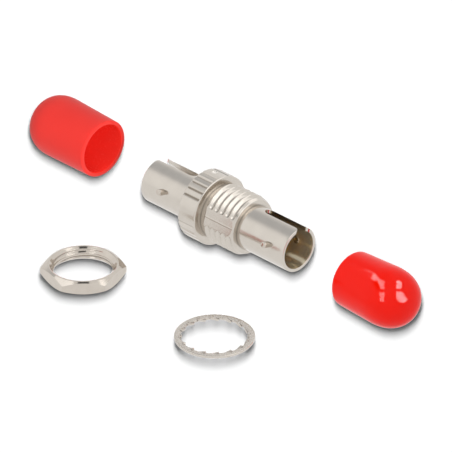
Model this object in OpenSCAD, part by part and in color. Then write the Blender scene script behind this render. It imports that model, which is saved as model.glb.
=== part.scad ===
/* [Barrels] */
// Outer diameter of both bayonet barrels
barrel_od = 7; // [6.6:0.05:7.4]
// Bore of both barrels
barrel_id = 6; // [5.7:0.05:6.3]
// Length of the front barrel ahead of the threaded neck
front_barrel_length = 9.5; // [8.5:0.1:11]
// Length of the rear barrel behind the collar
rear_barrel_length = 9.75; // [9:0.1:11]
// Break on the outer edge of each barrel mouth
mouth_break = 0.12; // [0.05:0.01:0.2]

/* [Keyways] */
// Width of the keyway in each barrel
keyway_width = 1.9; // [1.5:0.05:2.1]
// Length of each keyway from the barrel mouth
keyway_length = 7.6; // [6:0.1:8]
// Rounding of the keyway corners at the barrel mouth
keyway_corner = 0.7; // [0.4:0.05:1]

/* [Collar] */
// Diameter over the collar
collar_od = 11; // [10.4:0.1:12]
// Length of the collar along the axis
collar_length = 3.5; // [2.8:0.1:4.5]
// Bevel on both collar edges
collar_bevel = 0.2; // [0.1:0.05:0.35]
// Number of groove positions around the collar
groove_positions = 30; // [24:2:36]
// Depth of each grip groove
groove_depth = 0.26; // [0.15:0.01:0.35]
// Plain rim left between the grooves and the panel face
groove_rim = 0.25; // [0.15:0.05:0.6]
// Half angle without grooves beside the mould parting plane
plain_half_angle = 18; // [12:1:24]
// Direction of the ejector mark, up from the viewer's horizontal
mark_angle = 100; // [94:1:112]
// Half angle without grooves around the ejector mark
mark_land_half_angle = 10; // [6:1:14]
// Diameter of the ejector mark on the plain land
mark_d = 0.8; // [0.5:0.05:1]
// Depth of the ejector mark
mark_depth = 0.12; // [0.05:0.01:0.2]
// Distance of the ejector mark behind the panel face
mark_setback = 2.1; // [1.5:0.1:2.5]

/* [Threaded neck] */
// Major diameter of the panel thread
thread_major = 9.36; // [9.3:0.01:9.5]
// Pitch of the thread
thread_pitch = 1.1; // [0.9:0.05:1.3]
// Depth of the thread from crest to root
thread_depth = 0.45; // [0.3:0.01:0.48]
// Width of the land on each crest
thread_crest = 0.3; // [0.2:0.05:0.4]
// Width of the floor between crests
thread_root = 0.2; // [0.1:0.05:0.3]
// Length of the neck ahead of the collar
neck_length = 6.85; // [6:0.05:8]
// Length of the tapered lead at the neck end
lead_length = 0.95; // [0.5:0.05:1.2]
// Radius lost over the tapered lead
lead_drop = 0.45; // [0.3:0.05:0.6]
// Width of the relief groove beside the collar
relief_width = 0.75; // [0.5:0.05:1]
// Depth of the relief groove
relief_depth = 0.5; // [0.3:0.05:0.6]
// Distance between the two flats on the neck
flats_across = 8.7; // [8.66:0.01:8.9]
// Width of the smooth band that the mould leaves along each flat
flat_band = 2.6; // [2:0.1:3.2]

/* [Bayonet pins] */
// Diameter of a bayonet pin
pin_d = 1; // [0.8:0.05:1.2]
// Height of a bayonet pin above its barrel
pin_height = 0.95; // [0.7:0.05:1.1]
// Staked length that shows inside the barrel
pin_stake = 0.1; // [0.05:0.01:0.15]
// Bevel on a pin head
pin_bevel = 0.14; // [0.05:0.01:0.2]
// Distance of the front pins from the front mouth
front_pin_setback = 3.3; // [3:0.1:4.5]
// Distance of the rear pins from the rear mouth
rear_pin_setback = 4.4; // [3:0.1:5]

/* [Ferrule alignment] */
// Bore of the split sleeve
sleeve_id = 2.5; // [2.49:0.005:2.51]
// Wall of the split sleeve
sleeve_wall = 0.35; // [0.3:0.01:0.4]
// Length of the split sleeve
sleeve_length = 11.4; // [10.5:0.1:11.6]
// Width of the slit along the sleeve
slit_width = 0.45; // [0.3:0.05:0.6]
// Play between the sleeve and its holder
sleeve_play = 0.1; // [0.05:0.01:0.15]
// Wall of the holder around the sleeve
holder_wall = 0.6; // [0.5:0.05:0.7]
// Opening at both ends of the holder
holder_mouth = 2.9; // [2.85:0.05:3]
// Thickness of the end lips that keep the sleeve in
lip_thickness = 0.7; // [0.5:0.05:1]
// Diameter of the flange that stops the holder
flange_od = 5.5; // [5.2:0.1:5.6]
// Thickness of that flange
flange_thickness = 0.8; // [0.5:0.1:1.2]
// Thickness of the web that carries the holder
web_thickness = 3; // [2:0.1:4]

/* [Hex nut] */
// Nut size across the flats
nut_af = 11.1; // [10.9:0.1:11.8]
// Thickness of the nut
nut_thickness = 2.2; // [1.8:0.1:2.8]
// Bore of the nut inside its thread crests
nut_bore = 8.7; // [8.5:0.05:8.9]
// Clearance between the nut's thread and the neck's, on the diameter
nut_play = 0.1; // [0.06:0.02:0.2]
// Diameter of the countersinks at both ends of the bore
nut_countersink = 10.1; // [9.8:0.05:10.2]
// Diameter at which the corner bevels start
nut_face_d = 10.5; // [10.3:0.05:10.8]
// Slope of the corner bevels
nut_bevel_angle = 30; // [15:1:35]

/* [Lock washer] */
// Outer diameter of the washer
washer_od = 11.8; // [11.6:0.1:13]
// Thickness of the washer's ring
washer_thickness = 0.4; // [0.35:0.05:0.6]
// Inner diameter of the washer's ring
washer_ring_id = 10; // [9.9:0.05:10.4]
// Opening inside the teeth
washer_tooth_id = 9.55; // [9.5:0.05:9.8]
// Number of teeth
washer_teeth = 16; // [12:1:18]
// Width of a tooth
tooth_width = 1.3; // [1:0.05:1.4]
// Thickness of a tooth
tooth_thickness = 0.35; // [0.3:0.05:0.45]
// Twist of a tooth out of the ring
tooth_twist = 18; // [8:1:24]

/* [Dust caps] */
// Outer diameter of the front cap at its mouth
front_cap_mouth_od = 8.6; // [8.5:0.05:9.1]
// Outer diameter of the front cap where its dome begins
front_cap_dome_od = 9.16; // [9.12:0.02:9.6]
// Length of the front cap over its dome
front_cap_length = 12.4; // [11.5:0.1:14]
// Depth of the front cap's dome
front_cap_dome_depth = 5.4; // [4:0.1:6]
// Outer diameter of the rear cap at its mouth
rear_cap_mouth_od = 9.18; // [8.7:0.02:9.4]
// Outer diameter of the rear cap where its dome begins
rear_cap_dome_od = 9.62; // [9.42:0.02:9.9]
// Length of the rear cap over its dome
rear_cap_length = 13.7; // [12:0.1:14.5]
// Depth of the rear cap's dome
rear_cap_dome_depth = 4.7; // [4:0.1:6]
// Squareness of the domes, 2 being a true ellipse
cap_squareness = 2.3; // [2:0.1:3]
// Wall at the mouth of a cap
cap_wall = 0.65; // [0.5:0.05:0.8]
// Wall at the top of a dome
cap_top_wall = 1.2; // [0.8:0.1:1.6]
// Rounding of the mouth rims
cap_rim_radius = 0.2; // [0.1:0.05:0.25]

/* [Layout] */
// Roll of the parting plane above the horizontal
roll = 16.5; // [0:0.5:30]
// Front cap mouth along the adapter axis
front_cap_x = 26.3; // [22:0.1:36]
// Front cap offset away from the viewer
front_cap_y = 1.1; // [-4:0.1:4]
// Turn of the front cap about the vertical
front_cap_turn = -3; // [-20:1:20]
// Rear cap mouth along the adapter axis
rear_cap_x = -26.9; // [-36:0.1:-22]
// Rear cap offset away from the viewer
rear_cap_y = 1.9; // [-4:0.1:4]
// Turn of the rear cap about the vertical
rear_cap_turn = 180; // [160:1:200]
// Nut position along the adapter axis
nut_x = -7.5; // [-20:0.1:0]
// Nut position toward the viewer
nut_y = -21.2; // [-30:0.1:-14]
// Turn of the nut about the vertical
nut_turn = 46.5; // [0:0.5:60]
// Washer position along the adapter axis
washer_x = 18.8; // [10:0.1:24]
// Washer position toward the viewer
washer_y = -20.1; // [-30:0.1:-14]

/* [Hidden] */
$fn = 96;

// How far a cutting body passes the surface it cuts
over = 1;
barrel_r = barrel_od / 2;
bore_r = barrel_id / 2;
collar_r = collar_od / 2;
thread_r = thread_major / 2;
relief_r = thread_r - relief_depth;
lead_r = thread_r - lead_drop;
thread_start_x = relief_width + relief_depth / 2;
thread_end_x = neck_length - lead_length;
thread_grooves = floor((thread_end_x - thread_start_x - thread_crest) / thread_pitch);
pin_r = pin_d / 2;
floor_z = -collar_r;

front_mouth_x = neck_length + front_barrel_length;
rear_mouth_x = -collar_length - rear_barrel_length;
front_pin_x = front_mouth_x - front_pin_setback;
rear_pin_x = rear_mouth_x + rear_pin_setback;
// Plane where the two ferrules meet, midway between the pins
mating_x = (front_pin_x + rear_pin_x) / 2;
web_front_x = mating_x + web_thickness / 2;
web_rear_x = mating_x - web_thickness / 2;

sleeve_r = sleeve_id / 2 + sleeve_wall;
holder_bore_r = sleeve_r + sleeve_play / 2;
holder_r = holder_bore_r + holder_wall;
retainer_r = holder_bore_r + holder_wall / 2;
sleeve_rear_x = mating_x - sleeve_length / 2;
sleeve_front_x = mating_x + sleeve_length / 2;
holder_rear_x = sleeve_rear_x - lip_thickness;
holder_front_x = sleeve_front_x + lip_thickness;
keyway_angle = roll + 90;
groove_step = 360 / groove_positions;
// Square bar whose corner cuts a right-angled groove
groove_bar = 0.7;

// Turns a shape modelled on +Z so that it lies along +X from the given place
module along_x(x) {
    translate([x, 0, 0]) rotate([0, 90, 0]) children();
}

// Turns a shape modelled on the viewer's side, -Y, up by an angle about the axis
module at_angle(angle) {
    rotate([-angle, 0, 0]) children();
}

// Cylinder between two places on the axis
module axis_cylinder(x0, x1, r) {
    along_x(x0) cylinder(h = x1 - x0, r = r);
}

// Solid of revolution about the axis from points given as [x, radius]
module axis_turning(points) {
    rotate([0, 90, 0]) rotate_extrude() polygon([for (p = points) [p[1], p[0]]]);
}

// Angle between two directions, folded to 0 to 180
function apart(a, b) = abs((a - b + 540) % 360 - 180);

// True where a collar groove is left out by the mould
function is_plain(a) =
    apart(a, roll) < plain_half_angle
    || apart(a, roll + 180) < plain_half_angle
    || apart(a, mark_angle) < mark_land_half_angle;

// Collar, neck and both barrels as one turned outline
module housing_outline() {
    axis_turning([
        [rear_mouth_x, 0],
        [rear_mouth_x, barrel_r - mouth_break],
        [rear_mouth_x + mouth_break, barrel_r],
        [-collar_length, barrel_r],
        [-collar_length, collar_r - collar_bevel],
        [-collar_length + collar_bevel, collar_r],
        [-collar_bevel, collar_r],
        [0, collar_r - collar_bevel],
        [0, relief_r],
        [relief_width, relief_r],
        [thread_start_x, thread_r],
        [thread_end_x, thread_r],
        [neck_length, lead_r],
        [neck_length, barrel_r],
        [front_mouth_x - mouth_break, barrel_r],
        [front_mouth_x, barrel_r - mouth_break],
        [front_mouth_x, 0],
    ]);
}

// Cutter for one ring-shaped thread groove, starting at x
module thread_groove(x) {
    width = thread_pitch - thread_crest;
    slope = (width - thread_root) / 2;
    axis_turning([
        [x, thread_r + over],
        [x, thread_r],
        [x + slope, thread_r - thread_depth],
        [x + slope + thread_root, thread_r - thread_depth],
        [x + width, thread_r],
        [x + width, thread_r + over],
    ]);
}

// Moulded thread, drawn as rings at its pitch and left out in a band along each flat
module moulded_thread() {
    difference() {
        for (i = [0 : thread_grooves - 1])
            thread_groove(thread_start_x + thread_crest + i * thread_pitch);
        at_angle(roll)
            translate([0, -collar_od / 2, -flat_band / 2]) cube([neck_length, collar_od, flat_band]);
    }
}

// Cutter that leaves the panel neck with two flats
module neck_flats() {
    for (side = [0, 180])
        at_angle(roll + side)
            translate([relief_width, -flats_across / 2 - collar_od, -collar_od / 2])
                cube([neck_length - relief_width + over, collar_od, collar_od]);
}

// Grip groove cutter on the viewer's side of the collar
module groove_cutter() {
    translate([-collar_length - over, -collar_r + groove_depth - groove_bar / sqrt(2), 0])
        rotate([45, 0, 0])
            translate([0, -groove_bar / 2, -groove_bar / 2])
                cube([collar_length + over - groove_rim, groove_bar, groove_bar]);
}

// Every grip groove that the mould can draw
module grooves() {
    for (i = [0 : groove_positions - 1])
        let (a = roll + 10.5 + i * groove_step)
            if (!is_plain(a)) at_angle(a) groove_cutter();
}

// Keyway outline in plan, its mouth at x = 0 and running toward +X
module keyway_outline() {
    half = keyway_width / 2;
    union() {
        translate([-over, -half]) square([over + keyway_length - half, keyway_width]);
        translate([keyway_length - half, 0]) circle(r = half);
        difference() {
            translate([-over, -half - keyway_corner])
                square([over + keyway_corner, keyway_width + 2 * keyway_corner]);
            for (side = [-1, 1])
                translate([keyway_corner, side * (half + keyway_corner)]) circle(r = keyway_corner);
        }
    }
}

// Keyway cutter from a barrel mouth, running inward along dir = 1 or -1
module keyway_cutter(mouth_x, dir) {
    at_angle(keyway_angle)
        translate([mouth_x, 0, 0])
            rotate([90, 0, dir < 0 ? 180 : 0])
                translate([0, 0, dir < 0 ? -barrel_od : 0])
                    linear_extrude(height = barrel_od) keyway_outline();
}

// Radial cylinder on the viewer's side between two radii
module radial_cylinder(x, r0, r1, r) {
    translate([x, -r0, 0]) rotate([90, 0, 0]) cylinder(h = r1 - r0, r = r);
}

// Shallow round mark that an ejector left on the collar
module ejector_mark() {
    at_angle(mark_angle)
        radial_cylinder(-mark_setback, collar_r - mark_depth, collar_r + over, mark_d / 2);
}

module housing() {
    color([0.79, 0.76, 0.73])
    difference() {
        housing_outline();
        axis_cylinder(web_front_x, front_mouth_x + over, bore_r);
        axis_cylinder(rear_mouth_x - over, web_rear_x, bore_r);
        axis_cylinder(web_rear_x - over, web_front_x + over, holder_r);
        moulded_thread();
        neck_flats();
        grooves();
        ejector_mark();
        keyway_cutter(front_mouth_x, -1);
        keyway_cutter(rear_mouth_x, 1);
        for (x = [front_pin_x, rear_pin_x], side = [0, 180])
            at_angle(roll + side) radial_cylinder(x, bore_r - over, barrel_r + over, pin_r);
    }
}

// Pin with a bevelled head, pressed through the barrel wall
module bayonet_pin(x) {
    top = barrel_r + pin_height;
    translate([x, 0, 0]) rotate([90, 0, 0]) rotate_extrude()
        polygon([
            [0, bore_r - pin_stake],
            [pin_r, bore_r - pin_stake],
            [pin_r, top - pin_bevel],
            [pin_r - pin_bevel, top],
            [0, top],
        ]);
}

module bayonet_pins() {
    color([0.8, 0.78, 0.75])
    for (x = [front_pin_x, rear_pin_x], side = [0, 180])
        at_angle(roll + side) bayonet_pin(x);
}

module sleeve_holder() {
    color([0.78, 0.63, 0.34])
    difference() {
        union() {
            axis_cylinder(holder_rear_x, holder_front_x, holder_r);
            axis_cylinder(web_front_x, web_front_x + flange_thickness, flange_od / 2);
        }
        axis_cylinder(holder_rear_x - over, holder_front_x, holder_mouth / 2);
        axis_cylinder(sleeve_rear_x, holder_front_x, holder_bore_r);
        axis_cylinder(sleeve_front_x, holder_front_x + over, retainer_r);
    }
}

module split_sleeve() {
    color([0.93, 0.92, 0.88])
    difference() {
        axis_cylinder(sleeve_rear_x, sleeve_front_x, sleeve_r);
        axis_cylinder(sleeve_rear_x - over, sleeve_front_x + over, sleeve_id / 2);
        at_angle(keyway_angle)
            translate([sleeve_rear_x - over, -sleeve_r - over, -slit_width / 2])
                cube([sleeve_length + 2 * over, sleeve_r + over, slit_width]);
    }
}

module sleeve_retainer() {
    color([0.78, 0.63, 0.34])
    difference() {
        axis_cylinder(sleeve_front_x, holder_front_x, retainer_r);
        axis_cylinder(sleeve_front_x - over, holder_front_x + over, holder_mouth / 2);
    }
}

// Solid that trims the hexagon's corners to bevels at both faces
module nut_bevels() {
    corner_r = nut_af / sqrt(3) + over;
    drop = (corner_r - nut_face_d / 2) * tan(nut_bevel_angle);
    rotate_extrude()
        polygon([
            [0, 0],
            [nut_face_d / 2, 0],
            [corner_r, drop],
            [corner_r, nut_thickness - drop],
            [nut_face_d / 2, nut_thickness],
            [0, nut_thickness],
        ]);
}

// Bore of the nut with a countersink at both ends
module nut_hole() {
    sink = (nut_countersink - nut_bore) / 2;
    rotate_extrude()
        polygon([
            [0, -over],
            [nut_countersink / 2, -over],
            [nut_countersink / 2, 0],
            [nut_bore / 2, sink],
            [nut_bore / 2, nut_thickness - sink],
            [nut_countersink / 2, nut_thickness],
            [nut_countersink / 2, nut_thickness + over],
            [0, nut_thickness + over],
        ]);
}

// Ring-shaped thread grooves in the nut, with one crest midway between its faces
module nut_thread() {
    half_width = (thread_pitch - thread_crest) / 2;
    root_r = (thread_major + nut_play) / 2;
    for (side = [-1, 1])
        let (z = nut_thickness / 2 + side * thread_pitch / 2)
            rotate_extrude()
                polygon([
                    [0, z - half_width],
                    [nut_bore / 2, z - half_width],
                    [root_r, z - thread_root / 2],
                    [root_r, z + thread_root / 2],
                    [nut_bore / 2, z + half_width],
                    [0, z + half_width],
                ]);
}

module hex_nut() {
    color([0.8, 0.77, 0.74])
    translate([nut_x, nut_y, floor_z]) rotate([0, 0, nut_turn])
        difference() {
            intersection() {
                cylinder(h = nut_thickness, r = nut_af / sqrt(3), $fn = 6);
                nut_bevels();
            }
            nut_hole();
            nut_thread();
        }
}

// One tooth, twisted about its own radial line
module washer_tooth() {
    outer_r = washer_ring_id / 2 + washer_thickness / 2;
    inner_r = washer_tooth_id / 2;
    rotate([tooth_twist, 0, 0])
        translate([inner_r, -tooth_width / 2, -tooth_thickness / 2])
            cube([outer_r - inner_r, tooth_width, tooth_thickness]);
}

module lock_washer() {
    // Height of the twisted teeth below the ring's middle plane
    reach = tooth_width / 2 * sin(tooth_twist) + tooth_thickness / 2 * cos(tooth_twist);
    color([0.76, 0.73, 0.69])
    translate([washer_x, washer_y, floor_z + reach])
        union() {
            difference() {
                translate([0, 0, -washer_thickness / 2])
                    cylinder(h = washer_thickness, r = washer_od / 2);
                translate([0, 0, -washer_thickness / 2 - over])
                    cylinder(h = washer_thickness + 2 * over, r = washer_ring_id / 2);
            }
            for (i = [0 : washer_teeth - 1])
                rotate([0, 0, i * 360 / washer_teeth]) washer_tooth();
        }
}

// Points of a squared dome from its widest ring to its top, as [radius, height]
function dome(r, depth, base, steps) =
    [for (i = [0 : steps])
        let (t = 90 * i / steps)
        [r * pow(max(cos(t), 0), 2 / cap_squareness), base + depth * pow(sin(t), 2 / cap_squareness)]];

// Quarter round on the rim, centred at [cr, cz], as [radius, height]
function rim_arc(cr, cz, from, to, steps) =
    [for (i = [0 : steps])
        let (a = from + (to - from) * i / steps)
        [cr + cap_rim_radius * cos(a), cz + cap_rim_radius * sin(a)]];

// Thin-walled cap standing on its mouth along +Z
module cap_shell(mouth_od, dome_od, length, dome_depth) {
    mouth_r = mouth_od / 2;
    dome_r = dome_od / 2;
    dome_base = length - dome_depth;
    inner_depth = dome_depth - cap_top_wall;
    steps = 14;
    rotate_extrude()
        polygon(concat(
            rim_arc(mouth_r - cap_rim_radius, cap_rim_radius, -90, 0, 5),
            dome(dome_r, dome_depth, dome_base, steps),
            [for (i = [steps : -1 : 0]) dome(dome_r - cap_wall, inner_depth, dome_base, steps)[i]],
            rim_arc(mouth_r - cap_wall + cap_rim_radius, cap_rim_radius, 180, 270, 5)));
}

// Cap lying on its side, its mouth at the given place and its dome pointing along the turn
module lying_cap(x, y, turn, mouth_od, dome_od, length, dome_depth) {
    lean = asin((dome_od - mouth_od) / 2 / (length - dome_depth));
    translate([x, y, floor_z + mouth_od / 2 * cos(lean)])
        rotate([0, 0, turn])
            rotate([0, 90 - lean, 0])
                cap_shell(mouth_od, dome_od, length, dome_depth);
}

module front_dust_cap() {
    color([0.91, 0.15, 0.09])
    lying_cap(front_cap_x, front_cap_y, front_cap_turn,
        front_cap_mouth_od, front_cap_dome_od, front_cap_length, front_cap_dome_depth);
}

module rear_dust_cap() {
    color([0.91, 0.18, 0.13])
    lying_cap(rear_cap_x, rear_cap_y, rear_cap_turn,
        rear_cap_mouth_od, rear_cap_dome_od, rear_cap_length, rear_cap_dome_depth);
}

housing();
bayonet_pins();
sleeve_holder();
split_sleeve();
sleeve_retainer();
hex_nut();
lock_washer();
front_dust_cap();
rear_dust_cap();
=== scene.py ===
"""Bayonet fibre adapter laid out with its nut, lock washer and two dust caps, dressed to render."""

import logging
import math
from dataclasses import dataclass
from enum import Enum
from typing import Callable, Iterable, Sequence

import bmesh
import bpy
from mathutils import Matrix, Vector


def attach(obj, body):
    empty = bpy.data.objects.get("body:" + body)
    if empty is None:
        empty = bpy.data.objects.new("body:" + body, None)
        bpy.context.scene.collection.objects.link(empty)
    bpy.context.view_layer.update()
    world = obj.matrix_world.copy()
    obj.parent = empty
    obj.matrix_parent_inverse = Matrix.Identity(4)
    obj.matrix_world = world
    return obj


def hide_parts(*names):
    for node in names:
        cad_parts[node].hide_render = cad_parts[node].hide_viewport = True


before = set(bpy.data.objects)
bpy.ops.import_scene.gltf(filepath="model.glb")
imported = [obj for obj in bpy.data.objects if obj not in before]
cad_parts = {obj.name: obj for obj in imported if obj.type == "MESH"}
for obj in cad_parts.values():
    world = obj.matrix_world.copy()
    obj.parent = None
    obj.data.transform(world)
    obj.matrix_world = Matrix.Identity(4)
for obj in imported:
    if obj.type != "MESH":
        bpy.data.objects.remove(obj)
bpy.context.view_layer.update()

LOG = logging.getLogger("adapter_scene")
MM = 0.001
BODY = "root"
FULL_TURN = 2 * math.pi
# How far the adapter is rolled about its axis, in degrees up from the viewer's horizontal.
ROLL = 16.5
# Height of the table from the adapter's axis, in millimetres: the collar rests on it.
FLOOR_Z = -5.5
X_AXIS, Z_AXIS = Vector((1, 0, 0)), Vector((0, 0, 1))
# The range that most values of a noise pattern lie in.
NOISE_LOW, NOISE_HIGH = 0.3, 0.7

Point = tuple[float, float]
Triple = tuple[float, float, float]


class Piece(Enum):
    """The pieces that this script models, by their object names."""
    HOUSING = "cast_housing"
    PINS = "turned_bayonet_pins"
    NUT = "machined_hex_nut"
    WASHER = "stamped_lock_washer"
    FRONT_CAP = "front_vinyl_cap"
    REAR_CAP = "rear_vinyl_cap"


class Boolean(Enum):
    """What a tool mesh does to a piece."""
    CUT = "DIFFERENCE"
    JOIN = "UNION"


class Ray(Enum):
    """The kinds of ray that can be kept from seeing an object."""
    CAMERA = "camera"
    DIFFUSE = "diffuse"
    GLOSSY = "glossy"
    TRANSMISSION = "transmission"
    VOLUME = "volume_scatter"
    SHADOW = "shadow"


# ---------------------------------------------------------------- colours and nodes

def linear(hex_colour: str) -> tuple[float, float, float, float]:
    """Turns an sRGB hex colour into linear RGBA.

    Args:
        hex_colour: Six hex digits, with or without a leading hash.

    Returns:
        Linear red, green, blue and an alpha of one.
    """
    digits = hex_colour.lstrip("#")
    channels = [int(digits[i:i + 2], 16) / 255 for i in (0, 2, 4)]
    spread = [c / 12.92 if c <= 0.04045 else ((c + 0.055) / 1.055) ** 2.4 for c in channels]
    return (*spread, 1.0)


def add_node(tree: bpy.types.NodeTree, kind: str, settings: dict | None = None,
             inputs: dict | None = None) -> bpy.types.Node:
    """Adds a node with its settings, values and links.

    Args:
        tree: Node tree that gets the node.
        kind: Blender's type name of the node.
        settings: Properties to set on the node.
        inputs: Socket name or number to a value, or to an output socket to link from.

    Returns:
        The new node.
    """
    node = tree.nodes.new(kind)
    for name, value in (settings or {}).items():
        setattr(node, name, value)
    for name, value in (inputs or {}).items():
        if isinstance(value, bpy.types.NodeSocket):
            tree.links.new(value, node.inputs[name])
        else:
            node.inputs[name].default_value = value
    return node


def empty_tree(owner: bpy.types.Material | bpy.types.World) -> bpy.types.NodeTree:
    """Turns nodes on for a material or world and clears its tree.

    Args:
        owner: The material or world.

    Returns:
        Its empty node tree.
    """
    owner.use_nodes = True
    owner.node_tree.nodes.clear()
    return owner.node_tree


def per_mm(millimetres: float) -> float:
    """Noise scale whose features are about this many millimetres across."""
    return 1 / (millimetres * MM)


# ---------------------------------------------------------------- finishes

@dataclass(frozen=True)
class MetalFinish:
    """A plated or bare metal with a fine surface from how it was made.

    Attributes:
        name: Material name.
        light: Colour of the cleanest patches.
        dark: Colour of the slightly duller patches.
        roughness: Lowest and highest roughness over the surface.
        grain_mm: Size of the fine surface texture.
        grain_height_mm: Height of that texture.
        wave_mm: Size of the slow waviness left by casting or stamping.
        wave_height_mm: Height of that waviness.
        stretch: Scale of the pattern along X, Y and Z, for turned or rolled marks.
        painted_shade_mm: How far from a corner the colour is darkened, as painted shade in corners
            and grooves.
        painted_shade_keep: How much of its colour such a corner keeps under that painted shade.
        painted_shade_open: How open a place is where the painted shade is darkest, and where it ends.
        metallic: Share of bare metal, lower where a dull bloom covers it.
    """
    name: str
    light: str
    dark: str
    roughness: tuple[float, float] = (0.14, 0.24)
    grain_mm: float = 0.12
    grain_height_mm: float = 0.0015
    wave_mm: float = 1.6
    wave_height_mm: float = 0.006
    stretch: Triple = (1, 1, 1)
    painted_shade_mm: float = 0.3
    painted_shade_keep: float = 0.72
    painted_shade_open: Point = (0.55, 0.98)
    metallic: float = 1.0

    def build(self) -> bpy.types.Material:
        """Makes the material.

        Returns:
            The new material.
        """
        material = bpy.data.materials.new(self.name)
        tree = empty_tree(material)
        place = add_node(tree, "ShaderNodeTexCoord").outputs["Object"]
        place = add_node(tree, "ShaderNodeMapping", inputs={
            "Vector": place, "Scale": self.stretch}).outputs[0]
        patches = add_node(tree, "ShaderNodeTexNoise", inputs={
            "Vector": place, "Scale": per_mm(self.wave_mm), "Detail": 3.0,
            "Roughness": 0.55}).outputs["Fac"]
        grain = add_node(tree, "ShaderNodeTexNoise", inputs={
            "Vector": place, "Scale": per_mm(self.grain_mm), "Detail": 2.0}).outputs["Fac"]
        colour = add_node(tree, "ShaderNodeMix", {"data_type": "RGBA"}, {
            0: patches, 6: linear(self.dark), 7: linear(self.light)}).outputs[2]
        # Painted shade: an ambient-occlusion test darkens the colour in corners, grooves and gaps
        # between teeth.
        clear = add_node(tree, "ShaderNodeAmbientOcclusion", {"samples": 8, "only_local": True}, {
            "Distance": self.painted_shade_mm * MM}).outputs["AO"]
        kept = add_node(tree, "ShaderNodeMapRange", inputs={
            "Value": clear, "From Min": self.painted_shade_open[0], "From Max": self.painted_shade_open[1],
            "To Min": self.painted_shade_keep, "To Max": 1.0}).outputs[0]
        colour = add_node(tree, "ShaderNodeVectorMath", {"operation": "SCALE"}, {
            0: colour, "Scale": kept}).outputs[0]
        gloss = add_node(tree, "ShaderNodeMapRange", inputs={
            "Value": grain, "From Min": NOISE_LOW, "From Max": NOISE_HIGH,
            "To Min": self.roughness[0], "To Max": self.roughness[1]}).outputs[0]
        wave = add_node(tree, "ShaderNodeBump", inputs={
            "Height": patches, "Distance": self.wave_height_mm * MM, "Strength": 1.0}).outputs[0]
        skin = add_node(tree, "ShaderNodeBump", inputs={
            "Height": grain, "Distance": self.grain_height_mm * MM, "Strength": 1.0,
            "Normal": wave}).outputs[0]
        shader = add_node(tree, "ShaderNodeBsdfPrincipled", inputs={
            "Base Color": colour, "Metallic": self.metallic, "Roughness": gloss, "Normal": skin})
        add_node(tree, "ShaderNodeOutputMaterial", inputs={"Surface": shader.outputs[0]})
        return material


@dataclass(frozen=True)
class VinylFinish:
    """Dip-moulded vinyl: soft, slightly translucent and even, with a dipped skin.

    Attributes:
        name: Material name.
        body: Main colour.
        deep: Colour where the dip ran thicker.
        roughness: Lowest and highest roughness.
        specular: Strength of its reflections, low for plasticised vinyl.
        sheen: Weight of the soft light edge that a dull vinyl skin shows.
        run_mm: Size of the slow runs left by the dip.
        wave_height_mm: Height of those runs.
        skin_mm: Size of the fine matt and glossy patches of the skin.
        through: Share of the light that passes through the wall.
    """
    name: str
    body: str
    deep: str
    roughness: tuple[float, float]
    specular: float = 0.1
    sheen: float = 0.0
    run_mm: float = 5
    wave_height_mm: float = 0.02
    skin_mm: float = 0.35
    through: float = 0.5

    def build(self) -> bpy.types.Material:
        """Makes the material.

        Returns:
            The new material.
        """
        material = bpy.data.materials.new(self.name)
        tree = empty_tree(material)
        place = add_node(tree, "ShaderNodeTexCoord").outputs["Object"]
        runs = add_node(tree, "ShaderNodeTexNoise", inputs={
            "Vector": place, "Scale": per_mm(self.run_mm), "Detail": 2.0}).outputs["Fac"]
        skin = add_node(tree, "ShaderNodeTexNoise", inputs={
            "Vector": place, "Scale": per_mm(self.skin_mm), "Detail": 3.0}).outputs["Fac"]
        colour = add_node(tree, "ShaderNodeMix", {"data_type": "RGBA"}, {
            0: runs, 6: linear(self.deep), 7: linear(self.body)}).outputs[2]
        gloss = add_node(tree, "ShaderNodeMapRange", inputs={
            "Value": skin, "From Min": NOISE_LOW, "From Max": NOISE_HIGH,
            "To Min": self.roughness[0], "To Max": self.roughness[1]}).outputs[0]
        wave = add_node(tree, "ShaderNodeBump", inputs={
            "Height": runs, "Distance": self.wave_height_mm * MM, "Strength": 0.6}).outputs[0]
        shader = add_node(tree, "ShaderNodeBsdfPrincipled", inputs={
            "Base Color": colour, "Roughness": gloss, "Normal": wave, "IOR": 1.54,
            "Specular IOR Level": self.specular, "Sheen Weight": self.sheen, "Sheen Roughness": 0.4})
        glow = add_node(tree, "ShaderNodeBsdfTranslucent", inputs={"Color": colour})
        whole = add_node(tree, "ShaderNodeMixShader", inputs={
            0: self.through, 1: shader.outputs[0], 2: glow.outputs[0]})
        add_node(tree, "ShaderNodeOutputMaterial", inputs={"Surface": whole.outputs[0]})
        return material


@dataclass(frozen=True)
class CeramicFinish:
    """Ground zirconia: dense, white and satin, with fine lengthwise grinding lines.

    Attributes:
        name: Material name.
        body: Main colour.
        shade: Colour of the grinding lines.
        line_mm: Distance between those lines.
        stretch: Scale of the pattern along X, Y and Z, which draws the lines out along X.
    """
    name: str = "zirconia_ground"
    body: str = "#EEECE4"
    shade: str = "#DEDACF"
    line_mm: float = 0.06
    stretch: Triple = (0.08, 1, 1)

    def build(self) -> bpy.types.Material:
        """Makes the material.

        Returns:
            The new material.
        """
        material = bpy.data.materials.new(self.name)
        tree = empty_tree(material)
        place = add_node(tree, "ShaderNodeTexCoord").outputs["Object"]
        place = add_node(tree, "ShaderNodeMapping", inputs={
            "Vector": place, "Scale": self.stretch}).outputs[0]
        lines = add_node(tree, "ShaderNodeTexNoise", inputs={
            "Vector": place, "Scale": per_mm(self.line_mm), "Detail": 2.0}).outputs["Fac"]
        colour = add_node(tree, "ShaderNodeMix", {"data_type": "RGBA"}, {
            0: lines, 6: linear(self.shade), 7: linear(self.body)}).outputs[2]
        shader = add_node(tree, "ShaderNodeBsdfPrincipled", inputs={
            "Base Color": colour, "Roughness": 0.28, "IOR": 2.1})
        add_node(tree, "ShaderNodeOutputMaterial", inputs={"Surface": shader.outputs[0]})
        return material


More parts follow.
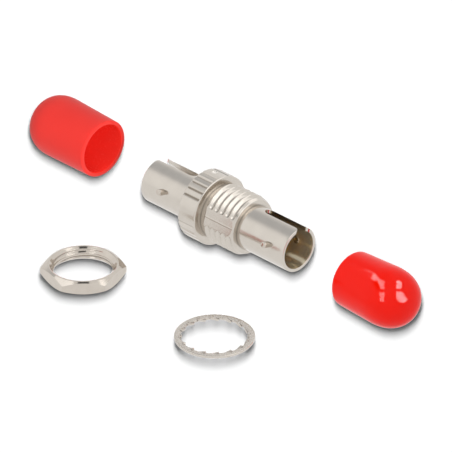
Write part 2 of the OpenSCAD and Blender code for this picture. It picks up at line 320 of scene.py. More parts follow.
class Finish(Enum):
    """Every finish on the object."""
    # Bright nickel over a zinc casting: soft reflections over a slightly wavy cast skin.
    CAST_NICKEL = MetalFinish("nickel_plate_on_cast_zinc", "#D2CBC2", "#C7C0B7", (0.14, 0.24),
                              wave_height_mm=0.004)
    # The pressed spot on the collar: burnished flat and smoother; its near-white colour, lighter than
    # the nickel round it, is a painted highlight, so it flashes white.
    PRESSED_SPOT = MetalFinish("nickel_plate_on_pressed_spot", "#FAF6F0", "#F4EFE7", (0.05, 0.1),
                               wave_height_mm=0)
    # Thin plate in the deep bore: it stays dull and yellowish and scatters what light gets in; its
    # tone, lighter than the outer plate, is also painted light that lifts the bore's shade.
    CORED_BORE = MetalFinish("nickel_plate_in_cored_bore", "#E6DBC4", "#C6B899", (0.12, 0.24),
                             wave_height_mm=0.012, metallic=0.8)
    # Bright nickel over machined brass: clear reflections and fine turning marks.
    TURNED_NICKEL = MetalFinish("nickel_plate_on_machined_brass", "#CFC7BD", "#C3BAB0", (0.07, 0.15),
                                grain_height_mm=0.0006, wave_height_mm=0.002, painted_shade_keep=0.5)
    # Satin nickel over stamped spring steel: blurred reflections and a rolled grain.
    STAMPED_NICKEL = MetalFinish("nickel_plate_on_stamped_steel", "#D4CDC5", "#C3BBB2", (0.2, 0.3),
                                 grain_mm=0.2, grain_height_mm=0.0004, wave_mm=1.4,
                                 wave_height_mm=0.001, painted_shade_keep=0.45)
    # Bare turned brass: warm, with fine rings from the tool.
    TURNED_BRASS = MetalFinish("brass_turned", "#D8B56A", "#C49C50", (0.18, 0.3), stretch=(8, 1, 1))
    # Ground zirconia: white and even, with a satin shine.
    ZIRCONIA = CeramicFinish()
    # Vinyl dipped hot and left to flow: a glossy skin that mirrors the studio windows sharply.
    GLOSSY_VINYL = VinylFinish("vinyl_dip_moulded_glossy", "#FC1900", "#F61600", (0.05, 0.09),
                               specular=0.2, through=0.3)
    # The same vinyl with a matt skin: it scatters the windows and has a soft pale edge.
    DULL_VINYL = VinylFinish("vinyl_dip_moulded_dull", "#E2453D", "#DC3E37", (0.5, 0.6),
                             specular=0.15, sheen=0.2)
    # The inside of a dipped cap, moulded on the polished former: smoother, and painted a lighter red
    # than the outside, as painted light in the cap's shaded hollow.
    LIGHTER_INSIDE_VINYL = VinylFinish("vinyl_inside_painted_lighter", "#FF4A3E", "#FA4236", (0.2, 0.3),
                               specular=0.2)

    def material(self) -> bpy.types.Material:
        """The one material of this finish, made the first time it is asked for."""
        return bpy.data.materials.get(self.value.name) or self.value.build()


# ---------------------------------------------------------------- mesh tools

def along(phi_degrees: float) -> Vector:
    """Direction square to the adapter axis at an angle up from the viewer's side."""
    phi = math.radians(phi_degrees)
    return Vector((0, -math.cos(phi), math.sin(phi)))


def facing(way: Vector) -> Matrix:
    """Turns the Z axis to point along a direction."""
    return way.to_track_quat("Z", "Y").to_matrix().to_4x4()


def angle_of(point: Vector) -> float:
    """Angle in degrees of a point about the adapter axis, up from the viewer's side."""
    return math.degrees(math.atan2(point.z, -point.y))


def apart(a: float, b: float) -> float:
    """Angle in degrees between two directions, from 0 to 180."""
    return abs((a - b + 540) % 360 - 180)


def smooth_step(low: float, high: float, value: float) -> float:
    """Rises smoothly from 0 at low to 1 at high."""
    t = min(max((value - low) / (high - low), 0), 1)
    return t * t * (3 - 2 * t)


def loop_of(bm: bmesh.types.BMesh, points: Sequence[Vector], closed: bool = True) -> list:
    """Adds points joined by edges.

    Args:
        bm: Mesh that gets them.
        points: Places in order.
        closed: Whether the last point joins the first.

    Returns:
        The new edges.
    """
    verts = [bm.verts.new(p) for p in points]
    pairs = list(zip(verts, verts[1:]))
    if closed:
        pairs.append((verts[-1], verts[0]))
    return [bm.edges.new(pair) for pair in pairs]


def round_corners(bm: bmesh.types.BMesh, radius: float, segments: int = 3,
                  where: Callable[[Vector], bool] = lambda co: True) -> None:
    """Rounds the corners of an outline.

    Args:
        bm: Mesh that holds only the outline.
        radius: How far from the corner the rounding starts.
        segments: Steps of the rounding.
        where: Which corners are rounded.
    """
    corners = [v for v in bm.verts if where(v.co)]
    bmesh.ops.bevel(bm, geom=corners, offset=radius, offset_type="OFFSET", segments=segments,
                    profile=0.5, affect="VERTICES", material=-1, clamp_overlap=True)


def split_long_edges(bm: bmesh.types.BMesh, step: float,
                     where: Callable[[Vector, Vector], bool]) -> None:
    """Cuts edges of an outline into pieces of about one step.

    Args:
        bm: Mesh that holds only the outline.
        step: Longest piece that is left.
        where: Which edges are cut, by the places of their two ends.
    """
    for edge in [e for e in bm.edges if where(e.verts[0].co, e.verts[1].co)]:
        cuts = math.ceil(edge.calc_length() / step) - 1
        if cuts > 0:
            bmesh.ops.subdivide_edges(bm, edges=[edge], cuts=cuts)


def spin_all(bm: bmesh.types.BMesh, axis: Vector, steps: int) -> None:
    """Turns the outline once round an axis through the origin and closes the seam.

    Args:
        bm: Mesh that holds only the outline.
        axis: Direction of the axis.
        steps: Faces round the axis.
    """
    geom = list(bm.verts) + list(bm.edges)
    bmesh.ops.spin(bm, geom=geom, cent=(0, 0, 0), axis=axis, dvec=(0, 0, 0), angle=FULL_TURN,
                   steps=steps, use_merge=True)
    bmesh.ops.remove_doubles(bm, verts=bm.verts, dist=1e-5)
    bmesh.ops.recalc_face_normals(bm, faces=bm.faces)


def move_to(bm: bmesh.types.BMesh, place: Matrix) -> None:
    """Applies a placing matrix, in millimetres, to every vertex."""
    bmesh.ops.transform(bm, matrix=place, verts=bm.verts)


def shade(mesh: bpy.types.Mesh, sharp_degrees: float) -> None:
    """Shades a mesh smooth, with a hard line at edges that are sharper than the angle."""
    mesh.shade_smooth()
    mesh.set_sharp_from_angle(angle=math.radians(sharp_degrees))


def new_object(name: str, data: bpy.types.ID) -> bpy.types.Object:
    """Makes an object at the origin and links it to the scene.

    Args:
        name: Object name.
        data: Its mesh, light or camera.

    Returns:
        The new object.
    """
    obj = bpy.data.objects.new(name, data)
    bpy.context.scene.collection.objects.link(obj)
    return obj


def make_object(bm: bmesh.types.BMesh, name: str, sharp_degrees: float = 32) -> bpy.types.Object:
    """Turns a mesh in millimetres into an object in metres at the origin.

    Args:
        bm: The mesh, which is freed.
        name: Object name.
        sharp_degrees: Edges sharper than this keep a hard shading line.

    Returns:
        The new object, linked to the scene.
    """
    bmesh.ops.scale(bm, vec=(MM, MM, MM), verts=bm.verts)
    mesh = bpy.data.meshes.new(name)
    bm.to_mesh(mesh)
    bm.free()
    shade(mesh, sharp_degrees)
    return new_object(name, mesh)


def combine(obj: bpy.types.Object, tools: Sequence[bpy.types.Object], operation: Boolean,
            sharp_degrees: float = 32) -> None:
    """Cuts or joins tool objects into an object, then removes the tools.

    Args:
        obj: The object that is changed.
        tools: Objects with closed meshes.
        operation: Whether they are cut out or joined on.
        sharp_degrees: Shading angle that the result gets.
    """
    for tool in tools:
        modifier = obj.modifiers.new(tool.name, "BOOLEAN")
        modifier.operation = operation.value
        modifier.solver = "EXACT"
        modifier.object = tool
    bpy.context.view_layer.update()
    graph = bpy.context.evaluated_depsgraph_get()
    mesh = bpy.data.meshes.new_from_object(obj.evaluated_get(graph))
    obj.modifiers.clear()
    old = obj.data
    obj.data = mesh
    mesh.name = obj.name
    bpy.data.meshes.remove(old)
    for tool in tools:
        bpy.data.objects.remove(tool)
    shade(mesh, sharp_degrees)


def dress(obj: bpy.types.Object, finish: Finish, nodes: Sequence[str]) -> None:
    """Gives a new piece its material and its body, and hides the CAD nodes that it stands for.

    Args:
        obj: The piece.
        finish: Its main finish.
        nodes: Names of the CAD nodes that it replaces.
    """
    obj.data.materials.clear()
    obj.data.materials.append(finish.material())
    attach(obj, BODY)
    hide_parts(*nodes)
    LOG.info("%s: %d faces, %s", obj.name, len(obj.data.polygons), finish.value.name)


def redress(node: str, finish: Finish) -> None:
    """Gives a CAD node that stays in view its material.

    Args:
        node: Name of the node.
        finish: Its finish.
    """
    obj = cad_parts[node]
    material = finish.material()
    for place in obj.material_slots:
        place.material = material
    if not obj.material_slots:
        obj.data.materials.append(material)
    LOG.info("%s: kept from the solids, %s", node, finish.value.name)


# ---------------------------------------------------------------- the adapter

@dataclass(frozen=True)
class PanelThread:
    """The fine thread shared by the neck and the nut, in millimetres.

    Attributes:
        major_r: Radius over the crests on the neck.
        depth: Depth from crest to root.
        pitch: Distance from crest to crest.
        first_crest: Where a crest lies at angle 0.
        flank_power: Power of the wave from crest to crest. Below 1, crests are narrower than roots.
    """
    major_r: float = 4.68
    depth: float = 0.45
    pitch: float = 1.1
    first_crest: float = 0.2
    flank_power: float = 0.85

    def depth_at(self, x: float, phi: float) -> float:
        """How far below the crests the surface lies at a place and an angle in degrees."""
        turn = (x - self.first_crest) / self.pitch + phi / 360
        return self.depth * (0.5 - 0.5 * math.cos(FULL_TURN * turn)) ** self.flank_power


@dataclass(frozen=True)
class PinSet:
    """Where the four bayonet pins go through the barrels, in millimetres.

    Attributes:
        radius: Radius of each pin.
        places: Places along X of the front and the rear pair.
    """
    radius: float = 0.5
    places: Point = (13.05, -8.85)

    def each(self) -> list[tuple[float, float]]:
        """Place along X and direction in degrees of each pin."""
        return [(x, ROLL + side) for x in self.places for side in (0, 180)]


@dataclass
class AdapterHousing:
    """The cast housing: knurled collar, threaded neck with two flats, and two keyed barrels.

    Lengths are in millimetres. Angles are in degrees about the axis, up from the viewer's side.

    Attributes:
        web: Rear and front face of the wall across the bore, which holds the sleeve holder.
        lead_length: Length of the cone at the neck's end, which falls by lead_drop.
        relief_r: Radius of the relief between collar and thread, relief_width wide.
        relief_slope: Length of the relief's sloping front side.
        flat_half: Distance of the neck's two flats from the axis.
        flat_fade: Angles from a flat's middle where the thread starts and where it is full.
        thread_run_in: Where the thread starts and is full, from the relief's front edge.
        groove_first: Direction of the first grip groove, up from the parting plane.
        groove_rim: Plain rim in front of the grooves, which run out over groove_fade.
        plain_half: Half angle without grooves beside the parting plane.
        mark_land_half: Half angle without grooves around the pressed spot.
        mark_edge: Distances from the spot's middle where its side ends and where it begins.
        parting_height: Height of the mould's parting ridge on the flats.
        parting_fade: Angles from the parting plane between which the ridge falls away.
        barrel_step: Longest face along the barrels; collar_step and thread_step are finer.
        steps: Faces round the axis.
    """
    barrel_r: float = 3.5
    bore_r: float = 3.0
    holder_r: float = 2.25
    rear_mouth_x: float = -13.25
    front_mouth_x: float = 16.35
    collar_r: float = 5.5
    collar_length: float = 3.5
    neck_length: float = 6.85
    lead_length: float = 0.95
    lead_drop: float = 0.45
    relief_r: float = 4.18
    relief_width: float = 0.75
    relief_slope: float = 0.25
    web: Point = (0.6, 3.6)
    flat_half: float = 4.35
    flat_fade: Point = (11, 23)
    thread_run_in: Point = (-0.1, 0.5)
    groove_depth: float = 0.26
    groove_step: float = 12
    groove_first: float = 10.5
    groove_rim: float = 0.25
    groove_fade: float = 0.08
    plain_half: float = 18
    keyway_half: float = 0.95
    keyway_length: float = 7.6
    keyway_corner: float = 0.7
    keyway_angle: float = ROLL + 90
    mark_angle: float = 100
    mark_setback: float = 2.1
    mark_depth: float = 0.12
    mark_edge: Point = (0.36, 0.42)
    mark_land_half: float = 10
    parting_height: float = 0.025
    parting_fade: Point = (0.2, 1.4)
    collar_round: float = 0.2
    mouth_round: float = 0.12
    bore_round: float = 0.07
    lead_round: float = 0.1
    barrel_step: float = 0.75
    collar_step: float = 0.1
    thread_step: float = 0.085
    steps: int = 360
    thread: PanelThread = PanelThread()
    pins: PinSet = PinSet()

    def section(self) -> list[Point]:
        """Outline of the wall once round.

        Returns:
            Its corners as (x, radius).
        """
        rear, front, neck = self.rear_mouth_x, self.front_mouth_x, self.neck_length
        thread_r, bore, barrel = self.thread.major_r, self.bore_r, self.barrel_r
        return [
            (rear, bore), (self.web[0], bore), (self.web[0], self.holder_r),
            (self.web[1], self.holder_r), (self.web[1], bore), (front, bore), (front, barrel),
            (neck, barrel), (neck, thread_r - self.lead_drop), (neck - self.lead_length, thread_r),
            (self.relief_width + self.relief_slope, thread_r), (self.relief_width, self.relief_r),
            (0, self.relief_r), (0, self.collar_r), (-self.collar_length, self.collar_r),
            (-self.collar_length, barrel), (rear, barrel),
        ]

    def turned(self) -> bmesh.types.BMesh:
        """Turns the outline, with soft corners and cut finely where detail follows, once round.

        Returns:
            The turned mesh, in millimetres.
        """
        bm = bmesh.new()
        loop_of(bm, [Vector((x, 0, r)) for x, r in self.section()])
        lead_end_r = self.thread.major_r - self.lead_drop

        def at(x: float, r: float) -> Callable[[Vector], bool]:
            """A test for the corner at one place of the outline."""
            return lambda co: abs(co.x - x) < 1e-4 and abs(co.z - r) < 1e-4

        for x in (0, -self.collar_length):
            round_corners(bm, self.collar_round, 4, at(x, self.collar_r))
        for x in (self.front_mouth_x, self.rear_mouth_x):
            round_corners(bm, self.mouth_round, 4, at(x, self.barrel_r))
            round_corners(bm, self.bore_round, 3, at(x, self.bore_r))
        round_corners(bm, self.lead_round, 3, at(self.neck_length, lead_end_r))
        split_long_edges(bm, self.barrel_step,
                         lambda a, b: abs(a.z - b.z) < 1e-5 and b.z < self.barrel_r + 0.01)
        split_long_edges(bm, self.collar_step, lambda a, b: min(a.z, b.z) > self.collar_r - 0.01)
        split_long_edges(bm, self.thread_step, lambda a, b: min(a.z, b.z) > self.relief_r + 0.04
                         and self.relief_width - 0.01 < min(a.x, b.x) < self.neck_length - 0.01)
        spin_all(bm, X_AXIS, self.steps)
        return bm

    def is_plain(self, phi: float) -> bool:
        """Whether the mould left out the groove at this angle."""
        return (apart(phi, ROLL) < self.plain_half or apart(phi, ROLL + 180) < self.plain_half
                or apart(phi, self.mark_angle) < self.mark_land_half)

    def groove_at(self, phi: float) -> float:
        """Depth of the grip grooves, whose sides slope at 45 degrees.

        Args:
            phi: Angle in degrees.

        Returns:
            Their depth there, or 0 between them.
        """
        first = ROLL + self.groove_first
        nearest = first + round((phi - first) / self.groove_step) * self.groove_step
        if self.is_plain(nearest):
            return 0.0
        return max(0.0, self.groove_depth - self.collar_r * math.radians(apart(phi, nearest)))

    def carve(self, bm: bmesh.types.BMesh) -> None:
        """Draws the turned surface in to the grooves, the spot, the thread and the flats.

        Args:
            bm: The turned mesh, which is changed.
        """
        for v in bm.verts:
            r = math.hypot(v.co.y, v.co.z)
            x, phi = v.co.x, angle_of(v.co)
            new_r = r
            if r > self.relief_r + 0.03 and -self.collar_length - 0.01 < x < 0.01:
                new_r = self.collar_at(x, phi, r)
            elif r > self.barrel_r + 0.2 and self.relief_width - 0.02 < x < self.neck_length + 0.01:
                new_r = self.neck_at(x, phi, r)
            if new_r != r:
                v.co.y *= new_r / r
                v.co.z *= new_r / r

    def collar_at(self, x: float, phi: float, r: float) -> float:
        """Radius of the collar surface, with its grooves and its pressed spot.

        Args:
            x: Place along the axis.
            phi: Angle in degrees.
            r: Radius of the turned surface there.

        Returns:
            Radius of the finished surface.
        """
        run_out = 1 - smooth_step(-self.groove_rim - self.groove_fade, -self.groove_rim, x)
        r = min(r, self.collar_r - self.groove_at(phi) * run_out)
        if r <= self.collar_r - 0.05:
            return r
        arc = self.collar_r * math.radians(apart(phi, self.mark_angle))
        across = math.hypot(x + self.mark_setback, arc)
        return r - self.mark_depth * (1 - smooth_step(*self.mark_edge, across))

    def neck_at(self, x: float, phi: float, r: float) -> float:
        """Radius of the neck surface, with its thread, its flats and the parting ridge.

        Args:
            x: Place along the axis.
            phi: Angle in degrees.
            r: Radius of the turned surface there.

        Returns:
            Radius of the finished surface.
        """
        off = min(apart(phi, ROLL), apart(phi, ROLL + 180))
        limit = self.flat_half / math.cos(math.radians(min(off, 60)))
        start, whole = (self.relief_width + place for place in self.thread_run_in)
        full = smooth_step(*self.flat_fade, off) * smooth_step(start, whole, x)
        threaded = self.thread.major_r - self.thread.depth_at(x, phi) * full
        r = min(r, threaded, limit)
        return r + self.parting_height * (1 - smooth_step(*self.parting_fade, off))

    def keyway_cutter(self, mouth_x: float, inward: int) -> bpy.types.Object:
        """A tool that cuts the keyway, flared at the mouth and round at its inner end.

        Args:
            mouth_x: Where the barrel's mouth is.
            inward: Which way along X the keyway runs, 1 or -1.

        Returns:
            The tool as an object.
        """
        half, flare, length = self.keyway_half, self.keyway_corner, self.keyway_length
        # How far the tool stands out past the mouth and its flare, and how high it reaches.
        over, height = 1, 6
        bm = bmesh.new()
        wide = half + flare + over
        outline = [(-over, -wide), (0, -wide), (0, -half), (length, -half),
                   (length, half), (0, half), (0, wide), (-over, wide)]
        loop_of(bm, [Vector((x * inward, y, 0)) for x, y in outline])
        round_corners(bm, flare, 8, lambda co: abs(co.x) < 1e-4 and abs(co.y) < half + 0.01)
        round_corners(bm, half * 0.999, 10, lambda co: abs(co.x - length * inward) < 1e-4)
        face = bmesh.ops.contextual_create(bm, geom=list(bm.edges))["faces"]
        lifted = bmesh.ops.extrude_face_region(bm, geom=face)["geom"]
        top = [g for g in lifted if isinstance(g, bmesh.types.BMVert)]
        bmesh.ops.translate(bm, vec=(0, 0, height), verts=top)
        bmesh.ops.recalc_face_normals(bm, faces=bm.faces)
        turn = Matrix.Rotation(math.radians(90 - self.keyway_angle), 4, "X")
        move_to(bm, Matrix.Translation((mouth_x, 0, 0)) @ turn)
        return make_object(bm, "keyway_cutter")

    def pin_hole_cutter(self, x: float, phi: float) -> bpy.types.Object:
        """A tool that bores the hole of one bayonet pin.

        Args:
            x: Place along the axis.
            phi: Direction of the pin, in degrees.

        Returns:
            The tool as an object.
        """
        bm = bmesh.new()
        radius, middle = self.pins.radius, (self.bore_r + self.barrel_r) / 2
        bmesh.ops.create_cone(bm, cap_ends=True, segments=48, radius1=radius, radius2=radius, depth=2)
        move_to(bm, Matrix.Translation(Vector((x, 0, 0)) + along(phi) * middle) @ facing(along(phi)))
        return make_object(bm, "pin_hole_cutter")

    def build(self) -> None:
        """Builds and dresses the housing."""
        bm = self.turned()
        self.carve(bm)
        bmesh.ops.recalc_face_normals(bm, faces=bm.faces)
        obj = make_object(bm, Piece.HOUSING.value)
        tools = [self.keyway_cutter(self.front_mouth_x, -1), self.keyway_cutter(self.rear_mouth_x, 1)]
        tools += [self.pin_hole_cutter(x, phi) for x, phi in self.pins.each()]
        combine(obj, tools, Boolean.CUT)
        dress(obj, Finish.CAST_NICKEL, ["housing"])
        self.finish_details(obj.data)

    def finish_details(self, mesh: bpy.types.Mesh) -> None:
        """Gives the front bore and the pressed spot their own finishes.

        Args:
            mesh: The dressed mesh, in metres.
        """
        mesh.materials.append(Finish.CORED_BORE.material())
        mesh.materials.append(Finish.PRESSED_SPOT.material())
        spot = (along(self.mark_angle) * self.collar_r + Vector((-self.mark_setback, 0, 0))) * MM
        for face in mesh.polygons:
            in_bore = math.hypot(*face.center.yz) < (self.bore_r + 0.02) * MM
            # Front bore faces get the lighter tone: partly dull thin plate, partly painted light in
            # the bore's shade.
            if in_bore and face.center.x > self.web[1] * MM:
                face.material_index = 1
            # The pressed spot's faces get the near-white painted highlight.
            elif (face.center - spot).length < self.mark_edge[1] * MM:
                face.material_index = 2


@dataclass
class BayonetPins:
    """The four pins pressed through the barrels, with turned heads, in millimetres.

    Attributes:
        inner_r: Distance of their inner ends from the axis.
        top_r: Distance of their heads' tops from the axis.
        head_round: Rounding of the heads.
        foot_round: Rounding of the inner ends.
        steps: Faces round each pin.
        pins: Their radius and places.
    """
    inner_r: float = 2.9
    top_r: float = 4.45
    head_round: float = 0.14
    foot_round: float = 0.05
    steps: int = 40
    pins: PinSet = PinSet()

    def build(self) -> None:
        """Builds and dresses the pins as one piece, as their solids are."""
        whole, radius = bmesh.new(), self.pins.radius
        for x, phi in self.pins.each():
            bm = bmesh.new()
            loop_of(bm, [Vector((r, 0, z)) for r, z in (
                (0, self.inner_r), (radius, self.inner_r), (radius, self.top_r), (0, self.top_r))],
                closed=False)
            round_corners(bm, self.head_round, 4,
                          lambda co: co.x > 0.01 and co.z > self.top_r - 0.01)
            round_corners(bm, self.foot_round, 2,
                          lambda co: co.x > 0.01 and co.z < self.inner_r + 0.01)
            spin_all(bm, Z_AXIS, self.steps)
            move_to(bm, Matrix.Translation((x, 0, 0)) @ facing(along(phi)))
            part = bpy.data.meshes.new("pin")
            bm.to_mesh(part)
            bm.free()
            whole.from_mesh(part)
            bpy.data.meshes.remove(part)
        obj = make_object(whole, Piece.PINS.value, 40)
        dress(obj, Finish.TURNED_NICKEL, ["bayonet_pins"])


# ---------------------------------------------------------------- loose parts

@dataclass
class HexNut:
    """The hexagon nut: bevelled corners, countersunk bore and an inside thread, in millimetres.

    Attributes:
        face_r: Radius of the plain ring on each face, where the bevel starts.
        belt_edge: How far the blank's belt starts from each face, before its corners are drawn.
        edge_round: Rounding of the hexagon's corners.
        face_round: Rounding of the plain ring's edges.
        thread_blend: How softly the thread runs out into the bore.
        bore_step: Longest face along the bore; bevel_step and belt_step are those further out.
        steps: Faces round the axis.
        centre: Middle of its lower face.
        turn: Angle of one corner, in degrees from the X axis.
    """
    across_flats: float = 11.1
    thickness: float = 2.2
    bore_r: float = 4.35
    countersink_r: float = 5.05
    face_r: float = 5.25
    bevel_degrees: float = 30
    belt_edge: float = 0.4
    edge_round: float = 0.12
    face_round: float = 0.05
    thread_blend: float = 0.08
    bore_step: float = 0.05
    bevel_step: float = 0.14
    belt_step: float = 0.3
    steps: int = 360
    centre: Triple = (-7.5, -21.2, FLOOR_Z)
    turn: float = 46.5
    thread: PanelThread = PanelThread(major_r=4.73, depth=0.38, first_crest=0.92)

    @property
    def widest(self) -> float:
        """Radius of the hexagon's corners before they are rounded."""
        return self.across_flats / math.sqrt(3)

    def outer_r(self, angle: float) -> float:
        """Radius of the hexagon with its corners rounded.

        Args:
            angle: Angle in degrees from a corner.

        Returns:
            The radius there.
        """
        half = self.across_flats / 2
        off = abs((angle + 30) % 60 - 30)
        corner = (half - self.edge_round) / math.cos(math.radians(30))
        reach = corner * math.sin(math.radians(off))
        flat = half / math.cos(math.radians(30 - off))
        if reach < self.edge_round:
            arc = corner * math.cos(math.radians(off)) + math.sqrt(self.edge_round ** 2 - reach ** 2)
            return min(flat, arc)
        return flat

    def build(self) -> None:
        """Builds and dresses the nut."""
        sink = self.countersink_r - self.bore_r
        t, belt, belt_r = self.thickness, self.belt_edge, self.widest - 0.01
        bm = bmesh.new()
        loop_of(bm, [Vector((r, 0, z)) for r, z in (
            (self.bore_r, sink), (self.countersink_r, 0), (self.face_r, 0), (self.widest, belt),
            (self.widest, t - belt), (self.face_r, t), (self.countersink_r, t),
            (self.bore_r, t - sink))])
        round_corners(bm, self.face_round, 2,
                      lambda co: self.bore_r + 0.01 < co.x < self.face_r + 0.01)
        split_long_edges(bm, self.bore_step,
                         lambda a, b: max(a.x, b.x) < self.countersink_r - 0.02)
        split_long_edges(bm, self.bevel_step, lambda a, b: min(a.x, b.x) < belt_r < max(a.x, b.x))
        split_long_edges(bm, self.belt_step, lambda a, b: min(a.x, b.x) > belt_r)
        spin_all(bm, Z_AXIS, self.steps)
        self.shape(bm)
        bmesh.ops.recalc_face_normals(bm, faces=bm.faces)
        turn = Matrix.Rotation(math.radians(self.turn), 4, "Z")
        move_to(bm, Matrix.Translation(self.centre) @ turn)
        obj = make_object(bm, Piece.NUT.value, 29)
        dress(obj, Finish.TURNED_NICKEL, ["hex_nut"])

    def shape(self, bm: bmesh.types.BMesh) -> None:
        """Draws the round blank to the hexagon, its bevels and the inside thread.

        Args:
            bm: The blank, still upright at the origin, which is changed.
        """
        slope, middle = math.tan(math.radians(self.bevel_degrees)), self.thickness / 2
        for v in bm.verts:
            r = math.hypot(v.co.x, v.co.y)
            angle = math.degrees(math.atan2(v.co.y, v.co.x))
            z = v.co.z
            new_r = r
            if r > self.face_r + 0.001:
                share = (r - self.face_r) / (self.widest - self.face_r)
                reach = self.outer_r(angle) - self.face_r
                new_r = self.face_r + share * reach
                drop = share * reach * slope
                if share < 0.999:
                    z = drop if z < middle else self.thickness - drop
                else:
                    z = middle + (z - middle) / (middle - self.belt_edge) * (middle - drop)
            elif r < self.countersink_r - 0.03:
                sunk = self.thread.depth - self.thread.depth_at(z, angle)
                gap = self.bore_r + sunk - r
                new_r = r + 0.5 * (gap + math.hypot(gap, self.thread_blend))
            v.co = Vector((v.co.x * new_r / r, v.co.y * new_r / r, z))


@dataclass
class LockWasher:
    """The internal-tooth lock washer: a stamped ring whose teeth are twisted out of its plane.

    Attributes:
        ring_r: Inner radius of the ring, where the teeth begin.
        tooth_r: Inner radius of the teeth.
        edge_round: Rounding that stamping leaves on the ring.
        tooth_round: The same on the teeth.
        twist: Turn of each tooth about its radial line, in degrees.
        centre: Place of its middle on the table, in millimetres as the other lengths.
        steps: Faces round the ring.
    """
    outer_r: float = 5.9
    ring_r: float = 5.0
    tooth_r: float = 4.775
    thickness: float = 0.4
    teeth: int = 16
    tooth_width: float = 1.3
    tooth_thickness: float = 0.35
    edge_round: float = 0.1
    tooth_round: float = 0.07
    twist: float = 18
    centre: Point = (18.8, -20.1)
    steps: int = 240

    def ring(self) -> bpy.types.Object:
        """The ring, its edges rounded by stamping.

        Returns:
            The ring as an object, with its middle at the origin.
        """
        half = self.thickness / 2
        bm = bmesh.new()
        loop_of(bm, [Vector((r, 0, z)) for r, z in (
            (self.ring_r, -half), (self.outer_r, -half), (self.outer_r, half),
            (self.ring_r, half))])
        round_corners(bm, self.edge_round, 3)
        spin_all(bm, Z_AXIS, self.steps)
        return make_object(bm, Piece.WASHER.value, 30)

    def all_teeth(self) -> bpy.types.Object:
        """Every tooth, each a soft-edged tongue twisted about its own radial line.

        Returns:
            The teeth as one object, rooted half the ring's thickness inside the ring.
        """
        bm = bmesh.new()
        outer = self.ring_r + self.thickness / 2
        for i in range(self.teeth):
            made = bmesh.ops.create_cube(bm, size=1)["verts"]
            size = (outer - self.tooth_r, self.tooth_width, self.tooth_thickness)
            bmesh.ops.scale(bm, vec=size, verts=made)
            edges = list({e for v in made for e in v.link_edges})
            rounded = bmesh.ops.bevel(bm, geom=edges, offset=self.tooth_round, offset_type="OFFSET",
                                      segments=2, profile=0.5, affect="EDGES", material=-1)["faces"]
            made = list({v for f in rounded for v in f.verts} | {v for v in made if v.is_valid})
            place = (Matrix.Rotation(FULL_TURN * i / self.teeth, 4, "Z")
                     @ Matrix.Rotation(math.radians(self.twist), 4, "X")
                     @ Matrix.Translation(((outer + self.tooth_r) / 2, 0, 0)))
            bmesh.ops.transform(bm, matrix=place, verts=made)
        bmesh.ops.recalc_face_normals(bm, faces=bm.faces)
        return make_object(bm, "washer_teeth", 30)

    def build(self) -> None:
        """Builds and dresses the washer."""
        obj = self.ring()
        combine(obj, [self.all_teeth()], Boolean.JOIN, 34)
        twist = math.radians(self.twist)
        reach = (self.tooth_width * math.sin(twist) + self.tooth_thickness * math.cos(twist)) / 2
        x, y = self.centre
        obj.data.transform(Matrix.Translation((x * MM, y * MM, (FLOOR_Z + reach) * MM)))
        dress(obj, Finish.STAMPED_NICKEL, ["lock_washer"])


